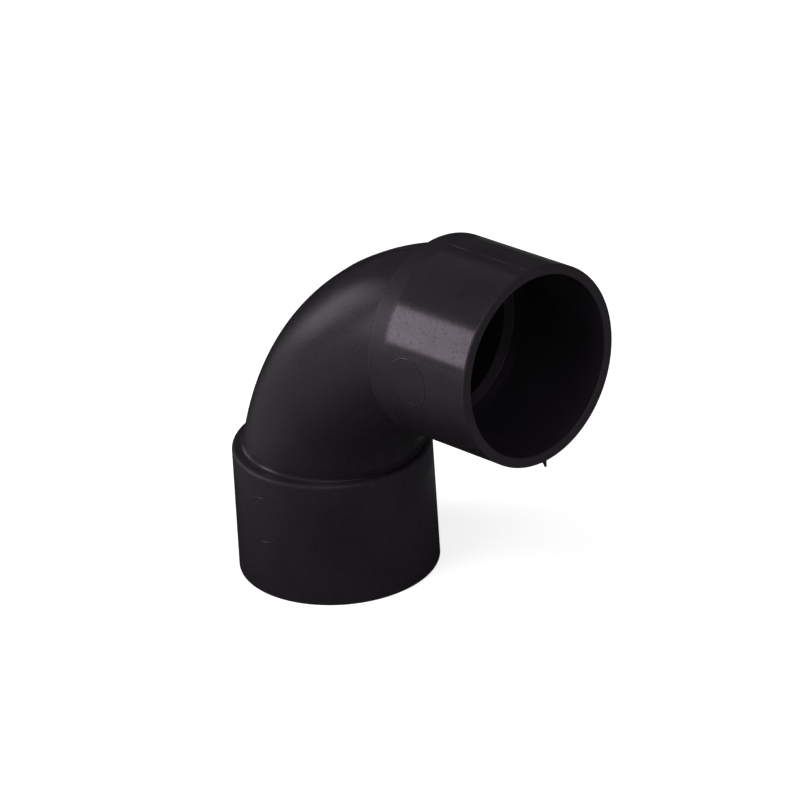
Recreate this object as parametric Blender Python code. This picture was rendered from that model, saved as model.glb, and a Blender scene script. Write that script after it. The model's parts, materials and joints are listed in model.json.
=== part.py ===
"""Waste pipe bend, one moulded piece.

A round tube sweeps through a little less than a right angle between two plain sockets.
Each socket takes a pipe as far as a stop ledge, and the waterway runs on from there.
The bend stands on the mouth of its lower socket, +Z up, and turns towards +X.
Its parting plane is the XZ plane. All sizes are in metres.
"""

import math

import bmesh
import bpy
from mathutils import Vector

# The pipe that each socket takes, and how its bore fits it: close at the stop, easier at the mouth
PIPE_RADIUS = 0.0215
BORE_CLEARANCE = 0.00015
BORE_TAPER = 0.0001
BORE_DEPTH = 0.0295

# The waterway stands in from the pipe's outside, which leaves the ledge that stops the pipe
STOP_LEDGE = 0.0031
STOP_THICKNESS = 0.0025

# Walls, and how much wider a socket is at its mouth so that it leaves the mould
SOCKET_WALL = 0.00235
TUBE_WALL = 0.0026
SOCKET_DRAFT = 0.0002

# The turn: the bend's centre lies past both shoulders, level with the middle of each socket,
# so that a curved core can swing out through the socket's bore
TURN = math.radians(87.5)
BEND_RADIUS = 0.0642
CENTRE_PAST_SHOULDER = 0.0189

# Rounded edges and the fillet where the tube meets the shoulder
SHOULDER_EDGE_RADIUS = 0.0010
RIM_OUTER_RADIUS = 0.00025
RIM_INNER_RADIUS = 0.0004
TUBE_FILLET = 0.0012
FILLET_SHARE_OF_ROOM = 0.75
SMALLEST_FILLET = 0.00005

# Sizes that follow from those above
SOCKET_LENGTH = BORE_DEPTH + STOP_THICKNESS
BORE_END_RADIUS = PIPE_RADIUS + BORE_CLEARANCE
BORE_MOUTH_RADIUS = BORE_END_RADIUS + BORE_TAPER
SHOULDER_RADIUS = BORE_END_RADIUS + SOCKET_WALL
MOUTH_RADIUS = SHOULDER_RADIUS + SOCKET_DRAFT
WATERWAY_RADIUS = PIPE_RADIUS - STOP_LEDGE
TUBE_RADIUS = WATERWAY_RADIUS + TUBE_WALL

# Marks that the mould leaves: the parting line, a round insert's line on each socket, a gate nib
SEAM_HALF_WIDTH = 0.00035
SEAM_HEIGHT = 0.00010
INSERT_RADIUS = 0.0058
LOWER_INSERT_PAST_SHOULDER = 0.0120
UPPER_INSERT_PAST_SHOULDER = 0.0132
INSERT_LINE_WIDTH = 0.00045
INSERT_LINE_HEIGHT = 0.00010
NIB_LENGTH = 0.0020
NIB_ACROSS = 0.0016
NIB_HEIGHT = 0.0016
NIB_TIP_SHARE = 0.35
MARK_ROOT = 0.0004

# How finely the round forms are divided
HALF_ROUND_STEPS = 30
EDGE_STEPS = 3
TUBE_STEPS = 24
WATERWAY_STEPS = 20
INSERT_STEPS = 36
NIB_STEPS = 8
NIB_LEVELS = 4

# Black moulded ABS, and the angle past which an edge is drawn sharp
ABS_COLOUR = (0.0105, 0.0090, 0.0110, 1.0)
ABS_ROUGHNESS = 0.38
ABS_IOR = 1.53
SHARP_EDGE = math.radians(35.0)

SIDE = Vector((0.0, 1.0, 0.0))


class Socket:
    """One end of the bend: where its shoulder is, which way it faces, and which way is outward."""

    def __init__(self, shoulder, out, away):
        self.shoulder = shoulder
        self.out = out
        self.away = away

    def point(self, along, radius, angle):
        """A point round the socket's axis, so far past its shoulder towards the mouth."""
        across = self.away * math.cos(angle) + SIDE * math.sin(angle)
        return self.shoulder + self.out * along + across * radius


def turn_direction(sweep):
    """The way from the bend's centre to a place on the turn, from level at the lower socket."""
    return Vector((-math.cos(sweep), 0.0, math.sin(sweep)))


def centre_to_axis():
    """How far the bend's centre lies from either socket's axis."""
    return math.sqrt(BEND_RADIUS ** 2 - CENTRE_PAST_SHOULDER ** 2)


def lay_out():
    """Both sockets and the bend's centre, with the whole part's box centred over the origin."""
    reach = centre_to_axis()
    centre = Vector((reach, 0.0, SOCKET_LENGTH - CENTRE_PAST_SHOULDER))
    lower_shoulder = Vector((0.0, 0.0, SOCKET_LENGTH))
    lower = Socket(lower_shoulder, Vector((0.0, 0.0, -1.0)), turn_direction(0.0))
    away = turn_direction(TURN)
    out = Vector((math.sin(TURN), 0.0, math.cos(TURN)))
    upper = Socket(centre + away * reach - out * CENTRE_PAST_SHOULDER, out, away)
    left = lower.point(SOCKET_LENGTH, MOUTH_RADIUS + SEAM_HEIGHT, 0.0).x
    right = upper.point(SOCKET_LENGTH, MOUTH_RADIUS - RIM_OUTER_RADIUS, math.pi).x
    shift = Vector((-(left + right) / 2.0, 0.0, 0.0))
    centre += shift
    lower.shoulder += shift
    upper.shoulder += shift
    return lower, upper, centre


def round_angles():
    """Angles once round, from the outside of the bend, with a narrow step each side of a seam."""
    seam = SEAM_HALF_WIDTH / SHOULDER_RADIUS
    step = (math.pi - 2.0 * seam) / HALF_ROUND_STEPS
    half = [0.0] + [seam + step * i for i in range(HALF_ROUND_STEPS + 1)]
    return half + [math.pi + angle for angle in half]


def seam_rise(index):
    """The parting line stands proud at the first column of each half turn."""
    return SEAM_HEIGHT if index % (HALF_ROUND_STEPS + 2) == 0 else 0.0


def quarter_round(corner, radius, start, end):
    """Points of a rounded edge in a profile of (along, radius) pairs, about its own centre."""
    points = []
    for i in range(EDGE_STEPS + 1):
        angle = start + (end - start) * i / EDGE_STEPS
        points.append((corner[0] + radius * math.cos(angle), corner[1] + radius * math.sin(angle)))
    return points


def socket_outside():
    """The socket's outer profile from the mouth's flat rim to its flat shoulder."""
    rim = (SOCKET_LENGTH - RIM_OUTER_RADIUS, MOUTH_RADIUS - RIM_OUTER_RADIUS)
    edge = (SHOULDER_EDGE_RADIUS, SHOULDER_RADIUS - SHOULDER_EDGE_RADIUS)
    profile = quarter_round(rim, RIM_OUTER_RADIUS, 0.0, math.pi / 2.0)
    return profile + quarter_round(edge, SHOULDER_EDGE_RADIUS, math.pi / 2.0, math.pi)


def socket_inside():
    """The socket's inner profile from the mouth's flat rim down to the outer edge of its ledge."""
    rim = (SOCKET_LENGTH - RIM_INNER_RADIUS, BORE_MOUTH_RADIUS + RIM_INNER_RADIUS)
    profile = quarter_round(rim, RIM_INNER_RADIUS, 0.0, -math.pi / 2.0)
    return profile + [(STOP_THICKNESS, BORE_END_RADIUS)]


def turned_rings(socket, profile, raised):
    """One ring of points for each place in a turned profile, with the seam on an outer skin."""
    rings = []
    for along, radius in profile:
        rings.append([
            socket.point(along, radius + (seam_rise(i) if raised else 0.0), angle)
            for i, angle in enumerate(round_angles())
        ])
    return rings


def tube_point(centre, radius, angle, sweep):
    """A point on the swept tube, at an angle round it and a sweep along the turn."""
    distance = BEND_RADIUS + radius * math.cos(angle)
    return centre + turn_direction(sweep) * distance + SIDE * (radius * math.sin(angle))


def tube_ends(radius, angle, along):
    """The sweeps at which a line along the tube crosses the two planes so far past the shoulders."""
    distance = BEND_RADIUS + radius * math.cos(angle)
    start = math.asin((CENTRE_PAST_SHOULDER - along) / distance)
    return start, TURN - start


def fillet_size(socket, corner):
    """The tube's fillet, kept within the room that the flat shoulder leaves beside the tube."""
    room = SHOULDER_RADIUS - SHOULDER_EDGE_RADIUS - (corner - socket.shoulder).length
    return min(TUBE_FILLET, max(room * FILLET_SHARE_OF_ROOM, SMALLEST_FILLET))


def fillet_points(socket, corner, size, tube_end):
    """The rounded corner from the flat shoulder to the tube, without its point on the tube."""
    foot = corner + (corner - socket.shoulder).normalized() * size
    points = []
    for step in range(EDGE_STEPS):
        t = step / EDGE_STEPS
        points.append(foot * (1.0 - t) ** 2 + corner * (2.0 * t * (1.0 - t)) + tube_end * t ** 2)
    return points


def outer_tube_rings(lower, upper, centre):
    """Rings of the bend's skin, foot of the lower fillet first and foot of the upper one last."""
    columns = []
    for i, angle in enumerate(round_angles()):
        radius = TUBE_RADIUS + seam_rise(i)
        start, end = tube_ends(radius, angle, 0.0)
        lower_corner = tube_point(centre, radius, angle, start)
        upper_corner = tube_point(centre, radius, angle, end)
        lower_fillet = fillet_size(lower, lower_corner)
        upper_fillet = fillet_size(upper, upper_corner)
        distance = BEND_RADIUS + radius * math.cos(angle)
        start += lower_fillet / distance
        end -= upper_fillet / distance
        line = [tube_point(centre, radius, angle, start + (end - start) * step / TUBE_STEPS)
                for step in range(TUBE_STEPS + 1)]
        columns.append(fillet_points(lower, lower_corner, lower_fillet, line[0]) + line
                       + fillet_points(upper, upper_corner, upper_fillet, line[-1])[::-1])
    return [list(ring) for ring in zip(*columns)]


def waterway_rings(centre):
    """Rings of the curved waterway, from the lower ledge to the upper one."""
    rings = []
    for step in range(WATERWAY_STEPS + 1):
        ring = []
        for angle in round_angles():
            start, end = tube_ends(WATERWAY_RADIUS, angle, STOP_THICKNESS)
            sweep = start + (end - start) * step / WATERWAY_STEPS
            ring.append(tube_point(centre, WATERWAY_RADIUS, angle, sweep))
        rings.append(ring)
    return rings


def skin_rings(lower, upper, centre):
    """Every ring of the closed wall: up the outside, then back through the waterway."""
    rings = turned_rings(lower, socket_outside(), True)
    rings += outer_tube_rings(lower, upper, centre)
    rings += reversed(turned_rings(upper, socket_outside(), True))
    rings += turned_rings(upper, socket_inside(), False)
    rings += reversed(waterway_rings(centre))
    rings += reversed(turned_rings(lower, socket_inside(), False))
    return rings


def loft(mesh, rings, capped):
    """Join each ring to the next into a closed wall, capped at its ends or run round to its start."""
    work = bmesh.new()
    rows = [[work.verts.new(point) for point in ring] for ring in rings]
    for row, following in zip(rows, rows[1:] + ([] if capped else rows[:1])):
        for i, vertex in enumerate(row):
            j = (i + 1) % len(row)
            work.faces.new((vertex, row[j], following[j], following[i]))
    if capped:
        work.faces.new(rows[0])
        work.faces.new(rows[-1])
    bmesh.ops.recalc_face_normals(work, faces=work.faces)
    work.to_mesh(mesh)
    work.free()


def wall_radius(along):
    """The socket's outer radius at a distance past its shoulder."""
    return SHOULDER_RADIUS + (MOUTH_RADIUS - SHOULDER_RADIUS) * along / SOCKET_LENGTH


def insert_line_rings(socket, past_shoulder):
    """The raised line round a mould insert, as sections that follow the socket's curved wall."""
    half = INSERT_LINE_WIDTH / 2.0
    section = ((-half, -MARK_ROOT), (-half / 2.0, INSERT_LINE_HEIGHT),
               (half / 2.0, INSERT_LINE_HEIGHT), (half, -MARK_ROOT))
    rings = []
    for step in range(INSERT_STEPS):
        turn = 2.0 * math.pi * step / INSERT_STEPS
        ring = []
        for out, rise in section:
            reach = INSERT_RADIUS + out
            along = past_shoulder + reach * math.sin(turn)
            radius = wall_radius(along)
            angle = -math.pi / 2.0 + reach * math.cos(turn) / radius
            ring.append(socket.point(along, radius + rise, angle))
        rings.append(ring)
    return rings


def nib_rings(socket):
    """Sections of the gate's remains on the inner side of a mouth, from within the wall outward.

    The side by the rim is straight, and the other side comes up to the blunt tip in a hollow.
    """
    rings = []
    for level in range(-1, NIB_LEVELS + 1):
        share = max(level, 0) / NIB_LEVELS
        rise = NIB_HEIGHT * share if level >= 0 else -MARK_ROOT
        spread = NIB_TIP_SHARE + (1.0 - NIB_TIP_SHARE) * (1.0 - share) ** 2
        ring = []
        for step in range(NIB_STEPS):
            turn = 2.0 * math.pi * step / NIB_STEPS
            back = NIB_LENGTH * spread * (1.0 - math.cos(turn)) / 2.0
            along = SOCKET_LENGTH - RIM_OUTER_RADIUS - back
            radius = wall_radius(along) + rise
            angle = math.pi + NIB_ACROSS * spread / 2.0 * math.sin(turn) / radius
            ring.append(socket.point(along, radius, angle))
        rings.append(ring)
    return rings


def make_mark(name, rings, capped):
    """One raised mark as an object of its own."""
    mesh = bpy.data.meshes.new(name)
    loft(mesh, rings, capped)
    return add_object(name, mesh)


def add_object(name, mesh):
    """Put a mesh into the scene under its own name."""
    item = bpy.data.objects.new(name, mesh)
    bpy.context.scene.collection.objects.link(item)
    return item


def join_on(body, tool):
    """Unite a small moulded mark with the body that carries it, and hide the mark's own object."""
    tool.hide_render = True
    tool.display_type = 'WIRE'
    union = body.modifiers.new(tool.name, 'BOOLEAN')
    union.operation = 'UNION'
    union.solver = 'EXACT'
    union.object = tool


def moulded_abs():
    """The one material: black ABS, half glossy as it leaves the mould."""
    material = bpy.data.materials.new("moulded_black_abs")
    material.use_nodes = True
    shader = material.node_tree.nodes["Principled BSDF"]
    shader.inputs["Base Color"].default_value = ABS_COLOUR
    shader.inputs["Roughness"].default_value = ABS_ROUGHNESS
    shader.inputs["Metallic"].default_value = 0.0
    shader.inputs["IOR"].default_value = ABS_IOR
    return material


def clear_scene():
    """Start from an empty scene."""
    for item in list(bpy.data.objects):
        bpy.data.objects.remove(item, do_unlink=True)


def main():
    clear_scene()
    lower, upper, centre = lay_out()
    mesh = bpy.data.meshes.new("pipe_bend")
    loft(mesh, skin_rings(lower, upper, centre), False)
    mesh.shade_smooth()
    mesh.set_sharp_from_angle(angle=SHARP_EDGE)
    mesh.materials.append(moulded_abs())
    body = add_object("pipe_bend", mesh)
    lower_line = insert_line_rings(lower, LOWER_INSERT_PAST_SHOULDER)
    upper_line = insert_line_rings(upper, UPPER_INSERT_PAST_SHOULDER)
    join_on(body, make_mark("lower_insert_line", lower_line, False))
    join_on(body, make_mark("upper_insert_line", upper_line, False))
    join_on(body, make_mark("gate_nib", nib_rings(upper), True))


main()
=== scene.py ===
"""Waste pipe bend in moulded black ABS: its smooth wall, mould marks and finish, on a studio stage.

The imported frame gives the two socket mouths, the pipe stops and the part's box.
Everything is in metres in the frame's own axes: +Z up, the bend standing on its lower socket's mouth
and turning towards +X, with its parting plane in XZ.
"""

import json
import math

import bmesh
import bpy
from bpy.props import FloatProperty, FloatVectorProperty, IntProperty, PointerProperty, StringProperty
from mathutils import Euler, Matrix, Vector


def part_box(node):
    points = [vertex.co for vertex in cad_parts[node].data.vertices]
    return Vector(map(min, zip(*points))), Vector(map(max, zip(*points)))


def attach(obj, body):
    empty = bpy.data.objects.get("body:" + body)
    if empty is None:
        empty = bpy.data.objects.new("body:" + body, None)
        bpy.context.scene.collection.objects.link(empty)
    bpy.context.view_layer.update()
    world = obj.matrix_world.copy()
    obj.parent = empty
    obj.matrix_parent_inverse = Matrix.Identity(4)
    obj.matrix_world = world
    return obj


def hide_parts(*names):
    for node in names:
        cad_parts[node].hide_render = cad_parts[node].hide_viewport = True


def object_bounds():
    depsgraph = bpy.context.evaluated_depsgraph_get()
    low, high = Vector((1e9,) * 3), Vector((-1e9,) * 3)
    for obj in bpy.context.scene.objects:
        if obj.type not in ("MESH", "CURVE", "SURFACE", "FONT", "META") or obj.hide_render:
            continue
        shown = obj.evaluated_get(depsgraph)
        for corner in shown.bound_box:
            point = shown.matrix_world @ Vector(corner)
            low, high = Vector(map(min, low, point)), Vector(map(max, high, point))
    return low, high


bl_info = {
    "name": "Waste Pipe Bend",
    "version": (1, 0, 0),
    "blender": (4, 5, 0),
    "location": "3D View > Sidebar > Pipe Bend",
    "description": "Builds a moulded waste pipe bend with its mould marks, black plastic and stage",
    "category": "Object",
}

NODE = "pipe_bend"

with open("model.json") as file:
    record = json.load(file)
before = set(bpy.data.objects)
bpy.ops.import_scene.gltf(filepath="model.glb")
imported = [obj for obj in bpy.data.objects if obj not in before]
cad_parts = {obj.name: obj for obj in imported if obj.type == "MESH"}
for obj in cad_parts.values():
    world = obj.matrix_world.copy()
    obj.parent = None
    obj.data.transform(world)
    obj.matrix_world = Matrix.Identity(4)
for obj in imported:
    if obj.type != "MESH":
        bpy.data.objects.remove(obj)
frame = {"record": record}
cad_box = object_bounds()
mounts = {mount["name"]: mount for mount in frame["record"]["mounts"]}
lower_rim = Vector(mounts["lower_socket_rim"]["pos_m"])
lower_stop = Vector(mounts["lower_pipe_stop"]["pos_m"])
upper_axis = Vector(mounts["upper_socket_rim"]["axis"])

# The kinds of node that are used most
MATH = "ShaderNodeMath"
VECTOR_MATH = "ShaderNodeVectorMath"
MIX = "ShaderNodeMix"
MAP_RANGE = "ShaderNodeMapRange"
NOISE = "ShaderNodeTexNoise"
COMBINE = "ShaderNodeCombineXYZ"
POSITION = "GeometryNodeInputPosition"
SET_POSITION = "GeometryNodeSetPosition"
RANDOM = "FunctionNodeRandomValue"

# How far beside a rounded edge its flat neighbours get one more ring, so that they shade flat
EDGE_MARGIN = 1.08
MERGE_DISTANCE = 2e-6
SHARP_ANGLE = math.radians(40.0)
BOX_TOLERANCE = 0.0002
# The tube's fillet takes at most this share of the flat shoulder beside it
FILLET_SHARE = 0.75
SMALLEST_FILLET = 0.00005
# Steps of the wall's mesh, and how strongly the tube's rows crowd towards the fillet
WALL_STEPS = {"Rounding steps": 9, "Fillet rows": 9, "Flat rows": 6, "Tube rows": 40,
              "Waterway rows": 30, "Row crowding": 1.6}

# Steps of the lines that the mould leaves
SEAM_STEPS = 8
TUBE_SEAM_STEPS = 40
SEAM_SPACING = 0.0005
LINE_SIDES = 10
RING_STEPS = 120
FLASH_SPACING = 0.004

# The gate's remains: rows and steps of the mesh, depth of the root, and how the tip ends
NIB_LEVELS = 12
NIB_STEPS = 24
NIB_ROOT = 0.0004
NIB_TIP_SHARE = 0.35
NIB_TIP_ROUNDING = 0.00008

# How deep a speck sits in the skin, as a share of its radius, how far along a socket or half the bend
# they are strewn, where along the turn they start, their sizes and their seed
SPECK_SINK = 0.55
SPECK_REACH = (0.08, 0.92)
FIRST_SPECK_SWEEP = math.radians(17.0)
SPECK_SIZES = {"Smallest": 0.00008, "Largest": 0.00018, "Seed": 11}
# The specks that the picture shows: where, metres past the shoulder or degrees of sweep, degrees
# round from the outside of the bend, and radius
PLACED_SPECKS = (
    ("bend", 45.9, -64.3, 0.00030),
    ("bend", 47.1, -70.5, 0.00022),
    ("bend", 37.8, -75.5, 0.00020),
    ("bend", 32.3, -82.3, 0.00020),
    ("bend", 56.4, -52.2, 0.00016),
    ("bend", 29.0, -72.0, 0.00016),
    ("upper", 0.0239, -77.0, 0.00028),
    ("upper", 0.0237, -0.7, 0.00024),
    ("upper", 0.0309, -0.6, 0.00018),
    ("upper", 0.0204, -48.5, 0.00014),
    ("lower", 0.0067, -165.1, 0.00020),
    ("lower", 0.0034, -107.2, 0.00018),
)

# Where the mould's finishes meet: how far the dull band fades on both sides of its end, the dull edge
# of a mouth, and how far a socket's finish reaches past its skin and its shoulder
BAND_FADE_BEFORE = 0.0015
BAND_FADE_AFTER = 0.0005
MOUTH_EDGE_DULL = 0.0005
MOUTH_EDGE_POLISHED = 0.0007
MASK_ROOM = 0.001
SHOULDER_ROOM = 0.0001
# Most of a noise lies between these two values
NOISE_LOW = 0.3
NOISE_HIGH = 0.7
MOTTLE_SIZE = 0.009
MOTTLE_SHARE = 0.025
FLOW_SIZE = 0.016
FLOW_FROM = 0.35
STIPPLE_SIZE = 0.0005
STIPPLE_FROM = 0.4
STIPPLE_FULL = 0.72
STIPPLE_SHARE = 0.5
# A pit's rim and floor, as shares of its cell, and how much duller it is
PIT_RIM = 0.085
PIT_FLOOR = 0.045
PIT_DULLNESS = 0.25
# Dull marks of handling: on the upper socket or not, metres past its shoulder, degrees, radius and
# strength, then how ragged they are and how far they fade
DULL_MARKS = (
    (True, 0.0221, -32.0, 0.0019, 1.0),
    (True, 0.0097, -21.2, 0.0014, 0.45),
    (True, 0.0104, -27.7, 0.0012, 0.45),
    (True, 0.0258, -26.9, 0.0008, 0.5),
    (True, 0.0140, 96.0, 0.0013, 0.6),
    (False, 0.0200, 62.0, 0.0012, 0.6),
)
DULL_MARK_SHARE = 0.2
RAGGED_SIZE = 0.0011
RAGGED_REACH = 0.0022
MARK_FADE = 1.3
# ABS refracts about this much, and its whole and worn skins mirror these shares of the usual level
ABS_IOR = 1.53
FULL_GLOSS = 0.5
WORN_GLOSS = 0.1

# The even light of the room, and how bright the plastic mirrors it
ROOM_LIGHT = 0.05
ROOM_MIRRORED = 0.04
# The floor's paint, and how strongly it glows to the camera to stay white beside the shadow
FLOOR_PAINT = "#C8C8C8"
FLOOR_ROUGHNESS = 0.9
FLOOR_GLOW = 0.75
# Painted reflections: the plastic mirrors the floor in a dark painted tone, with a painted pool of light
# in front on the left and a dimmer painted one behind on the right; each patch: tone, then (azimuth,
# start, full) of each gradient that bounds it
PAINTED_REFLECTION_TONE = "#1A1A1A"
PAINTED_LIGHT_PATCHES = (
    ("#7A7A7A", ((-60.0, 0.01, 0.14), (-15.0, 0.0, 0.08))),
    ("#666666", ((140.0, -0.01, 0.05),)),
)
# Each lamp: name, azimuth round the part from -Y, elevation, distance, how wide and how high it
# looks from the part in degrees, brightness, lean in degrees, and whether the plastic mirrors it
LAMPS = (
    ("key_box", -47.5, 18.2, 0.70, 15.0, 31.0, 3.6, 20.0, True),
    ("key_foot", -42.5, -4.0, 0.70, 15.0, 10.0, 0.35, 0.0, True),
    ("left_box", -82.0, 8.0, 0.90, 20.0, 26.0, 1.05, 15.0, True),
    ("upper_left_box", -88.0, 44.0, 0.90, 60.0, 10.0, 0.12, 0.0, True),
    ("front_box", 52.0, 44.0, 1.20, 56.0, 40.0, 0.5, 0.0, True),
    ("top_box", -20.0, 46.0, 1.20, 50.0, 50.0, 4.0, 0.0, False),
    ("side_box", 88.0, 27.0, 1.20, 44.0, 44.0, 2.3, 0.0, False),
)


def a_length(name, description, default):
    """A length on the panel, in metres."""
    return FloatProperty(name=name, description=description, default=default, precision=6,
                         unit='LENGTH', subtype='DISTANCE')


def an_angle(name, description, default):
    """An angle on the panel, which shows it in degrees."""
    return FloatProperty(name=name, description=description, default=default, unit='ROTATION',
                         subtype='ANGLE')


def a_share(name, description, default):
    """A share on the panel, from nothing to all."""
    return FloatProperty(name=name, description=description, default=default, min=0.0, max=1.0,
                         subtype='FACTOR')


class BendSizes(bpy.types.PropertyGroup):
    """The fitting's driving sizes. The mouth, the depth and the turn come from the frame."""

    mouth_radius: a_length("Mouth radius", "Outside of a socket at its mouth", cad_box[1].y)
    bore_depth: a_length("Bore depth", "From the mouth to the ledge that stops the pipe", lower_stop.z)
    turn: an_angle("Turn", "How far the fitting turns the flow", math.atan2(upper_axis.x, upper_axis.z))
    stop_thickness: a_length("Stop thickness", "From the ledge to the shoulder's plane", 0.0025)
    socket_draft: a_length("Socket draft", "How much narrower a socket is at its shoulder", 0.0002)
    socket_wall: a_length("Socket wall", "Wall at the mouth", 0.00245)
    bore_taper: a_length("Bore taper", "How much narrower the bore is at its ledge", 0.0001)
    waterway_radius: a_length("Waterway radius", "Inside of the bend between the two ledges", 0.0184)
    tube_wall: a_length("Tube wall", "Wall of the bend between the two shoulders", 0.0026)
    bend_radius: a_length("Bend radius", "From the bend's centre to the tube's own centre line", 0.0642)
    centre_past_shoulder: a_length(
        "Centre past shoulder", "How far the bend's centre lies past each shoulder", 0.0189)
    shoulder_rounding: a_length("Shoulder rounding", "Rounded outer edge of each shoulder", 0.0010)
    rim_outer_rounding: a_length("Outer rim rounding", "Rounded outer edge of each mouth", 0.00025)
    rim_inner_rounding: a_length("Inner rim rounding", "Rounded lead-in of each bore", 0.0004)
    ledge_rounding: a_length("Ledge rounding", "Rounded corner where the bore meets its ledge", 0.0002)
    tube_fillet: a_length("Tube fillet", "Fillet where the tube stands on a shoulder", 0.0012)
    columns: IntProperty(
        name="Columns", description="Steps once round the wall", default=288, min=24)


class MouldMarks(bpy.types.PropertyGroup):
    """What the mould leaves on the skin."""

    line_radius: a_length("Parting line radius", "Radius of the bead along the parting line", 0.00016)
    line_height: a_length("Parting line height", "How proud of the skin the parting line stands", 0.00007)
    line_unevenness: a_length("Parting line unevenness", "How much the bead thickens and thins", 0.00004)
    insert_line_radius: a_length("Insert line radius", "Radius of the line round each mould insert",
                                 0.00035)
    insert_line_height: a_length("Insert line height", "How proud of the skin that line stands", 0.00008)
    insert_line_unevenness: a_length("Insert line unevenness", "How much that line rises and sinks",
                                     0.00004)
    speck_number: IntProperty(
        name="Specks", description="Small specks strewn over the skin", default=60, min=0)
    insert_radius: a_length("Insert radius", "Radius of the round mould insert on each socket", 0.0058)
    lower_insert_past_shoulder: a_length("Lower insert", "From the lower shoulder to its insert's centre",
                                         0.0120)
    upper_insert_past_shoulder: a_length("Upper insert", "From the upper shoulder to its insert's centre",
                                         0.0132)
    nib_length: a_length("Nib length", "Root of the gate's remains along the socket", 0.0020)
    nib_across: a_length("Nib width", "Root of the gate's remains round the socket", 0.0016)
    nib_height: a_length("Nib height", "How far the gate's remains stand out", 0.0016)


class PlasticFinish(bpy.types.PropertyGroup):
    """The black plastic as the mould and handling leave it."""

    colour: StringProperty(
        name="Colour", description="Pigment of the plastic as an sRGB hex value", default="#1D1A1E")
    thin_colour: StringProperty(
        name="Flow colour", description="Where the melt flowed unevenly, as an sRGB hex value",
        default="#211E22")
    sheen: StringProperty(
        name="Sheen", description="Tint of the plastic's reflections as an sRGB hex value",
        default="#FFEBFF")
    socket_roughness: a_share("Socket roughness", "Skin from the polished socket inserts of the mould",
                              0.19)
    bend_roughness: a_share("Bend roughness", "Skin of the bend between the shoulders", 0.28)
    band_roughness: a_share("Band roughness", "Dull band beside each shoulder", 0.45)
    band_width: a_length("Band width", "How far the dull band runs past each shoulder", 0.0062)
    grain_size: a_length("Grain size", "Spacing of the mould's fine grain", 0.00045)
    grain_depth: a_length("Grain depth", "Height of the fine grain", 0.000006)
    sink_size: a_length("Sink size", "Spacing of the slow waves that cooling leaves", 0.022)
    sink_depth: a_length("Sink depth", "Height of those waves", 0.00006)
    pit_spacing: a_length("Pit spacing", "Size of the cells that hold one fine pit at most", 0.003)
    pit_depth: a_length("Pit depth", "Depth of a fine pit", 0.00003)


class StageSetup(bpy.types.PropertyGroup):
    """Camera and floor."""

    camera_azimuth: an_angle("Camera azimuth", "Round the part from its -Y side", math.radians(47.0))
    camera_elevation: an_angle("Camera elevation", "Above the horizon", math.radians(27.44))
    camera_roll: an_angle("Camera roll", "Turn about the line of sight", math.radians(-3.55))
    camera_distance: a_length("Camera distance", "From the point that the camera looks at", 1.693)
    camera_aim: FloatVectorProperty(
        name="Camera aim", description="Point in the middle of the picture",
        default=(-0.0155006, 0.0147534, 0.0394086), precision=5, unit='LENGTH', subtype='XYZ')
    lens: FloatProperty(
        name="Lens", description="Focal length in millimetres on a 36 mm sensor", default=319.57)
    floor_size: a_length("Floor size", "Side of the floor", 6.0)


def add(tree, kind, inputs=(), **settings):
    """Add one node with its settings and its inputs, in order or by name, as values or as links."""
    node = tree.nodes.new(kind)
    for setting, value in settings.items():
        setattr(node, setting, value)
    for key, value in inputs.items() if isinstance(inputs, dict) else enumerate(inputs):
        if isinstance(value, bpy.types.Node):
            value = value.outputs[0]
        if isinstance(value, bpy.types.NodeSocket):
            tree.links.new(value, node.inputs[key])
        else:
            node.inputs[key].default_value = value
    return node


def linear(hex_colour):
    """An sRGB hex value as a linear colour with full alpha."""
    channels = [int(hex_colour[i:i + 2], 16) / 255.0 for i in (1, 3, 5)]
    return [c / 12.92 if c <= 0.04045 else ((c + 0.055) / 1.055) ** 2.4 for c in channels] + [1.0]


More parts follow.
